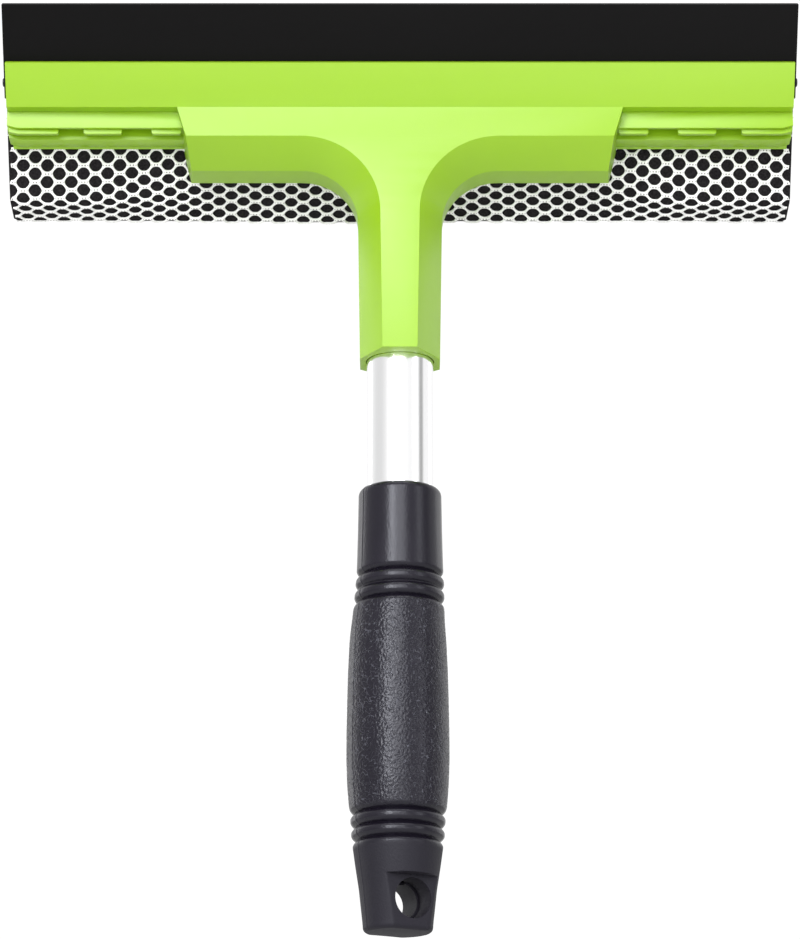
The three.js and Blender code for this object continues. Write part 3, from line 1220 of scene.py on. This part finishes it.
@dataclass
class Grip:
    """Moulded grip: turned body, leather grain, flats and a hanging hole.

    outline holds the outside's (height, radius) in millimetres, from the end up.
    """

    finish: GripPlastic = field(default_factory=GripPlastic)
    outline: tuple[tuple[float, float], ...] = (
        (0, 10.45), (3, 10.7), (6.5, 11.1), (13, 11.8), (20, 12.9), (25, 13.6),
        (28.7, 14.15), (33, 14.4), (36.5, 14.6), (39, 14.9), (45, 15.4), (53, 15.68),
        (62, 15.65), (71, 15.5), (81, 15.25), (90, 14.85), (98.5, 14.1), (103.3, 13.95),
        (107.6, 13.75), (112, 13.45), (117, 13.3), (125, 13.1), (138.2, 12.9))
    smoothing: int = 15
    segments: int = 440
    row_step: float = 0.22 * MM
    groove_depth: float = 1.35 * MM
    groove_half: float = 1.75 * MM
    groove_power: float = 1.7
    lower_grooves: tuple[float, ...] = (27.5 * MM, 31.6 * MM, 35.8 * MM)
    upper_grooves: tuple[float, ...] = (102.0 * MM, 106.3 * MM, 110.6 * MM)
    bore_radius: float = 10.8 * MM
    bore_bottom: float = 41.7 * MM
    bore_drop: float = 0.5 * MM
    rim: float = 2.2 * MM
    rim_wall: float = 0.1 * MM
    rim_steps: int = 10
    foot: float = 1.5 * MM
    foot_steps: int = 7
    flat: float = 8.6 * MM
    flat_top: float = 16.4 * MM
    flat_run: float = 0.45 * MM
    flat_soft: float = 0.16 * MM
    flat_free: float = 20 * MM
    hole_turn: float = math.radians(29.0)
    hole_height: float = 9.4 * MM
    hole_radius: float = 6.1 * MM
    hole_back_radius: float = 5.5 * MM
    hole_step: float = 0.6 * MM
    hole_reach: float = 20 * MM
    hole_lip: float = 0.6 * MM
    hole_steps: int = 8
    hole_segments: int = 72
    grain_depth: float = 0.10 * MM
    grain_size: float = 1.02 * MM
    grain_stretch: float = 1.3
    grain_line: float = 1.0
    grain_radius: float = 15.3 * MM
    grain_seed: int = 7
    grain_gaps: tuple[float, float] = (0.75, 0.45)
    grain_clear: tuple[float, float] = (1.6 * MM, 1.8 * MM)
    grain_fade: float = 0.8 * MM
    parting: tuple[float, ...] = (math.radians(-152.0), math.radians(28.0))
    parting_height: float = 0.12 * MM
    parting_width: float = 0.28 * MM
    core_radius: float = 2.0 * MM
    drift: float = 0.62 * MM
    drift_top: float = 112 * MM
    drift_run: float = 22 * MM

    def build(self) -> None:
        """Build and dress the grip."""
        dress(self._shape(), self.finish.make(), Body.MAIN, "grip")

    def _outside(self, z: np.ndarray) -> np.ndarray:
        """Radius of the grip's outside, without its grooves.

        Args:
            z: heights in metres.

        Returns:
            The radius at each height.
        """
        heights, radii = np.array(self.outline).T * MM
        radius = np.interp(z, heights, radii)
        kernel = np.hanning(self.smoothing)
        padded = np.pad(radius, self.smoothing // 2, mode="edge")
        return np.convolve(padded, kernel / kernel.sum(), mode="valid")

    def _grooves(self, z: np.ndarray) -> np.ndarray:
        """Depth of the groove bands.

        Args:
            z: heights in metres.

        Returns:
            The depth at each height.
        """
        depth = np.zeros_like(z)
        for middle in self.lower_grooves + self.upper_grooves:
            near = np.clip(1 - np.abs(z - middle) / self.groove_half, 0, 1)
            depth = np.maximum(depth, self.groove_depth * near ** self.groove_power)
        return depth

    def _grain(self, rows: int) -> np.ndarray:
        """Worm-like leather grain from 0 to 1: ridges along the nodes of a rippled noise.

        Args:
            rows: rows of the grid, row_step apart.

        Returns:
            Array of rows by segments.
        """
        source = np.random.default_rng(self.grain_seed)
        around = 2 * math.pi * self.grain_radius / self.segments
        f_z = np.fft.fftfreq(rows, self.row_step)[:, None]
        f_a = np.fft.fftfreq(self.segments, around)[None, :]
        ripple = np.hypot(f_z * self.grain_stretch, f_a) * self.grain_size

        def waves(low: float, width: float) -> np.ndarray:
            """Noise kept to ripples of about one length.

            Args:
                low: the ripples' frequency, as a share of the grain's.
                width: spread of the frequency.

            Returns:
                Array of rows by segments, with a spread of 1.
            """
            noise = np.fft.fft2(source.standard_normal((rows, self.segments)))
            kept = np.fft.ifft2(noise * np.exp(-((ripple - low) / width) ** 2)).real
            return kept / kept.std()

        worms = np.exp(-((waves(1.0, 0.30) / self.grain_line) ** 2))
        level, spread = self.grain_gaps
        return worms * np.clip(level + spread * waves(0.9, 0.35), 0, 1)

    def _grain_band(self, z: np.ndarray) -> np.ndarray:
        """How strongly the grain shows.

        Args:
            z: heights in metres.

        Returns:
            The strength at each height, from 0 to 1.
        """
        low = self.lower_grooves[-1] + self.grain_clear[0]
        high = self.upper_grooves[0] - self.grain_clear[1]
        fade = self.grain_fade
        return np.clip((z - low) / fade, 0, 1) * np.clip((high - z) / fade, 0, 1)

    def _shape(self) -> bpy.types.Object:
        """Model the grip, up to the top of the CAD node.

        Returns:
            The grip.
        """
        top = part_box("grip")[1].z
        z = np.arange(self.foot, top - self.rim, self.row_step)
        rows = len(z)
        angle = np.linspace(0, 2 * math.pi, self.segments, endpoint=False)
        grain = self._grain(rows) * self._grain_band(z)[:, None] * self.grain_depth
        radius = (self._outside(z) - self._grooves(z))[:, None] + grain
        for seam in self.parting:
            apart = np.angle(np.exp(1j * (angle - seam))) * radius.mean()
            ridge = np.exp(-((apart / self.parting_width) ** 2))
            radius = radius + self.parting_height * ridge[None, :]
        radius = self._flatten(radius, z, angle)
        loops = [(radius[row], np.full(self.segments, z[row])) for row in range(rows)]
        inside = [(np.full(self.segments, wide), np.full(self.segments, height))
                  for wide, height in ((self.bore_radius, top - self.bore_drop),
                                       (self.bore_radius, self.bore_bottom),
                                       (self.core_radius, self.bore_bottom),
                                       (self.core_radius, self.hole_height))]
        loops = self._rounding(radius[0]) + loops + self._rim(radius[-1], z[-1], top) + inside
        points = np.array([np.stack([r * np.cos(angle), r * np.sin(angle), h], axis=-1)
                           for r, h in loops]).reshape(-1, 3)
        settle = np.clip((self.drift_top - points[:, 2]) / self.drift_run, 0, 1)
        points[:, 0] -= self.drift * eased(settle)
        faces = grid_faces(len(loops), self.segments, capped=True)
        piece = mesh_object("grip_moulding", points, faces)
        self._drill(piece)
        smooth(piece, 55.0)
        return piece

    def _flatten(self, radius: np.ndarray, z: np.ndarray, angle: np.ndarray) -> np.ndarray:
        """Cut the two flats into the grip's end, with a softened corner.

        Args:
            radius: radius at each row and angle.
            z: height of each row.
            angle: angle of each column.

        Returns:
            The radius with the flats.
        """
        facing = np.abs(np.cos(angle - (self.hole_turn - math.pi / 2)))
        rise = np.clip((z - self.flat_top) / self.flat_run, 0, 1)[:, None]
        limit = self.flat / np.maximum(facing, 1e-3)[None, :] + rise * self.flat_free
        gap = (radius - limit) / self.flat_soft
        return radius - self.flat_soft * np.logaddexp(0, np.clip(gap, -60, 200))

    def _rounding(self, radius: np.ndarray) -> list[tuple[np.ndarray, np.ndarray]]:
        """Round the lower edge.

        Args:
            radius: radius of the row above it.

        Returns:
            Loops (radius, height) from the flat end up.
        """
        return [(radius - self.foot * (1 - sine), np.full(self.segments, self.foot * rest))
                for sine, rest in quarter_turn(0, self.foot_steps, self.foot_steps)]

    def _rim(self, radius: np.ndarray, start: float,
             top: float) -> list[tuple[np.ndarray, np.ndarray]]:
        """Round the upper rim over to the bore.

        Args:
            radius: radius of the row below it.
            start: height of that row.
            top: height of the rim.

        Returns:
            Loops (radius, height) from the row up.
        """
        reach = radius.mean() - self.bore_radius - self.rim_wall
        return [(radius - reach * rest, np.full(self.segments, start + (top - start) * sine))
                for sine, rest in quarter_turn(1, self.rim_steps + 1, self.rim_steps)]

    def _lip(self, radius: float, side: int) -> list[tuple[float, float]]:
        """One side of the hole's cutter, from outside the grip in to its rolled lip.

        Args:
            radius: radius of the hole on this side.
            side: 1 in front, -1 behind.

        Returns:
            Points (radius, place along the hole).
        """
        points = [(radius + self.hole_lip, side * self.hole_reach)]
        for sine, rest in quarter_turn(0, self.hole_steps + 1, self.hole_steps):
            points.append((radius + self.hole_lip * (1 - sine),
                           side * (self.flat - self.hole_lip * rest)))
        return points

    def _drill(self, piece: bpy.types.Object) -> None:
        """Cut the hanging hole: stepped in the middle, with lips that roll into the flats.

        Args:
            piece: grip mesh without its hole.
        """
        front = self._lip(self.hole_radius, 1) + [(self.hole_radius, self.hole_step)]
        back = [(self.hole_back_radius, self.hole_step),
                *reversed(self._lip(self.hole_back_radius, -1))]
        section = [(AXIS_RADIUS, self.hole_reach), *front, *back, (AXIS_RADIUS, -self.hole_reach)]
        cutter = turned_piece("cutter", section, self.hole_segments)
        turn = Matrix.Rotation(self.hole_turn, 4, "Z") @ Matrix.Rotation(math.pi / 2, 4, "X")
        cutter.data.transform(Matrix.Translation((0, 0, self.hole_height)) @ turn)
        self._cut(piece, cutter)

    @staticmethod
    def _cut(piece: bpy.types.Object, cutter: bpy.types.Object) -> None:
        """Take a cutter's shape out of a piece, and remove the cutter.

        Args:
            piece: the piece.
            cutter: the cutter, in place.
        """
        cut = piece.modifiers.new("cut", "BOOLEAN")
        cut.operation = "DIFFERENCE"
        cut.solver = "EXACT"
        cut.object = cutter
        apply_modifiers(piece)
        bpy.data.objects.remove(cutter)


@dataclass
class Handle:
    """Aluminium tube, its plug and the screws."""

    tube_wall: float = 1.2 * MM
    tube_chamfer: float = 0.2 * MM
    plug_edge: float = 0.3 * MM
    screw_edge: float = 0.08 * MM
    segments: int = 128
    grip: Grip = field(default_factory=Grip)

    def build(self) -> None:
        """Build and dress the handle's pieces."""
        dress(self._tube(), DrawnAluminium().make(), Body.MAIN, "tube")
        plug = rounded_copy("tube_plug", "tube_end_plug", self.plug_edge)
        dress(plug, PalePlug().make(), Body.MAIN, "tube_plug")
        steel = ZincSteel().make()
        screws = [f"frame_screw_{number}" for number in (1, 2, 3, 4)] + ["neck_screw"]
        for node in screws:
            screw = rounded_copy(node, node + "_turned", self.screw_edge, 2)
            dress(screw, steel, Body.MAIN, node)
        self.grip.build()

    def _tube(self) -> bpy.types.Object:
        """Plain tube with slightly broken end edges.

        Returns:
            The tube.
        """
        low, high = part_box("tube")
        outer = (high.x - low.x) / 2
        inner = outer - self.tube_wall
        chamfer = self.tube_chamfer
        profile = [
            (outer - chamfer, low.z), (outer, low.z + chamfer), (outer, high.z - chamfer),
            (outer - chamfer, high.z), (inner + chamfer, high.z), (inner, high.z - chamfer),
            (inner, low.z + chamfer), (inner + chamfer, low.z),
        ]
        piece = turned_piece("aluminium_tube", profile, self.segments)
        smooth(piece, 30.0)
        return piece


# ---- Stage ----------------------------------------------------------------------------


@dataclass(frozen=True)
class SoftBox:
    """One area light: its name, place, the point it faces, size in metres and watts."""

    name: str
    place: Point
    target: Point
    size: tuple[float, float]
    power: float


SOFT_BOXES = (
    SoftBox("key", (-0.26, -1.7, 0.78), (0.0, 0.0, 0.18), (1.5, 1.15), 23.5),
    SoftBox("strip", (-0.60, -1.5, 0.50), (0.0, 0.0, 0.12), (0.16, 1.2), 9.0),
    SoftBox("top", (0.0, -0.2, 1.7), (0.0, 0.0, 0.2), (1.2, 0.8), 8.0),
    SoftBox("left_rim", (-1.4, 1.0, 0.4), (0.0, 0.0, 0.12), (0.5, 1.3), 3.5),
    SoftBox("right_rim", (1.4, 1.0, 0.4), (0.0, 0.0, 0.12), (0.4, 1.3), 1.2),
    SoftBox("right_fill", (1.25, -0.9, 0.35), (0.0, 0.0, 0.15), (0.25, 1.2), 2.4),
    SoftBox("low", (0.1, -1.6, -0.15), (0.0, 0.0, 0.22), (1.6, 0.25), 4.0),
)


@dataclass
class Studio:
    """White world, soft lights, pale floor and the camera."""

    floor_level: float = -0.36
    floor_size: float = 12.0
    floor_colour: Colour = (0.84, 0.84, 0.83)
    floor_roughness: float = 0.8
    camera_back: float = 1.001
    camera_below: float = 0.1605
    camera_pitch: float = math.radians(17.0)
    lens: float = 128.2
    sensor: float = 36.0
    clip: tuple[float, float] = (0.05, 20.0)
    diffuse_level: float = 0.46
    mirror_level: float = 1.0
    seen_level: float = 1.05
    gap_azimuth: float = math.radians(77.5)
    gap_half: float = math.radians(8.0)
    gap_soft: float = 0.05
    gap_depth: float = 0.6
    left_widening: float = 3.0
    left_soft: float = 0.3
    left_share: float = 0.35

    def build(self) -> None:
        """Build the stage and set the camera."""
        self._world()
        self._floor()
        for box in SOFT_BOXES:
            self._light(box)
        self._camera()
        bpy.context.scene.view_settings.view_transform = "Standard"

    def _world(self) -> None:
        """White to the eye, softer for lighting, with a dark gap between the lights."""
        world = bpy.data.worlds.new("white_world")
        bpy.context.scene.world = world
        world.use_nodes = True
        board = Board("white_world", world.node_tree)
        path = ("ShaderNodeLightPath", {}, {})
        across = board.add("ShaderNodeSeparateXYZ", {}, {0: board.place()}, "X")
        depth = board.add("ShaderNodeSeparateXYZ", {}, {0: board.place()}, "Y")
        azimuth = board.add(
            "ShaderNodeMath", {"operation": "ARCTAN2"}, {0: across, 1: depth * -1.0})
        right = azimuth.distance_to(self.gap_azimuth).below(self.gap_half, self.gap_soft)
        left = azimuth.distance_to(-self.gap_azimuth).below(
            self.left_widening * self.gap_half, self.left_soft)
        gloss = (self.mirror_level - right * self.gap_depth
                 - left * (self.left_share * self.gap_depth))
        level = (self.diffuse_level + (gloss - self.diffuse_level)
                 * board.add(*path, "Is Glossy Ray"))
        seen = board.add(*path, "Is Camera Ray")
        board.shade_world(level * (1.0 - seen) + seen * self.seen_level)

    def _floor(self) -> None:
        """Plain pale floor, below the camera's line of sight."""
        reach = self.floor_size / 2
        level = self.floor_level
        corners = np.array([(-reach, -reach, level), (reach, -reach, level),
                            (reach, reach, level), (-reach, reach, level)])
        floor = mesh_object("floor", corners, [(0, 1, 2, 3)])
        board = Board("pale_floor")
        board.set(Base_Color=(*self.floor_colour, 1.0), Roughness=self.floor_roughness)
        floor.data.materials.append(board.material)

    @staticmethod
    def _light(box: SoftBox) -> None:
        """Add one soft box.

        Args:
            box: the soft box.
        """
        lamp = bpy.data.lights.new(box.name, "AREA")
        lamp.shape = "RECTANGLE"
        lamp.size, lamp.size_y = box.size
        lamp.energy = box.power
        light = add_object(box.name, lamp)
        light.location = box.place
        aim = Vector(box.target) - Vector(box.place)
        light.rotation_euler = aim.to_track_quat("-Z", "Y").to_euler()

    def _camera(self) -> None:
        """Long lens, low in front and looking slightly up at the tool."""
        data = bpy.data.cameras.new("camera")
        data.lens = self.lens
        data.sensor_width = self.sensor
        data.clip_start, data.clip_end = self.clip
        camera = add_object("camera", data)
        camera.location = (0.0, -self.camera_back, -self.camera_below)
        camera.rotation_euler = (math.pi / 2 + self.camera_pitch, 0.0, 0.0)
        bpy.context.scene.camera = camera


def main() -> None:
    """Build every sub-assembly in order."""
    logging.basicConfig(level=logging.INFO, format="%(message)s")
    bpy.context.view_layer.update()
    Studio().build()
    GreenHead().build()
    Blade().build()
    Sponge().build()
    Handle().build()


if __name__ == "__main__":
    main()
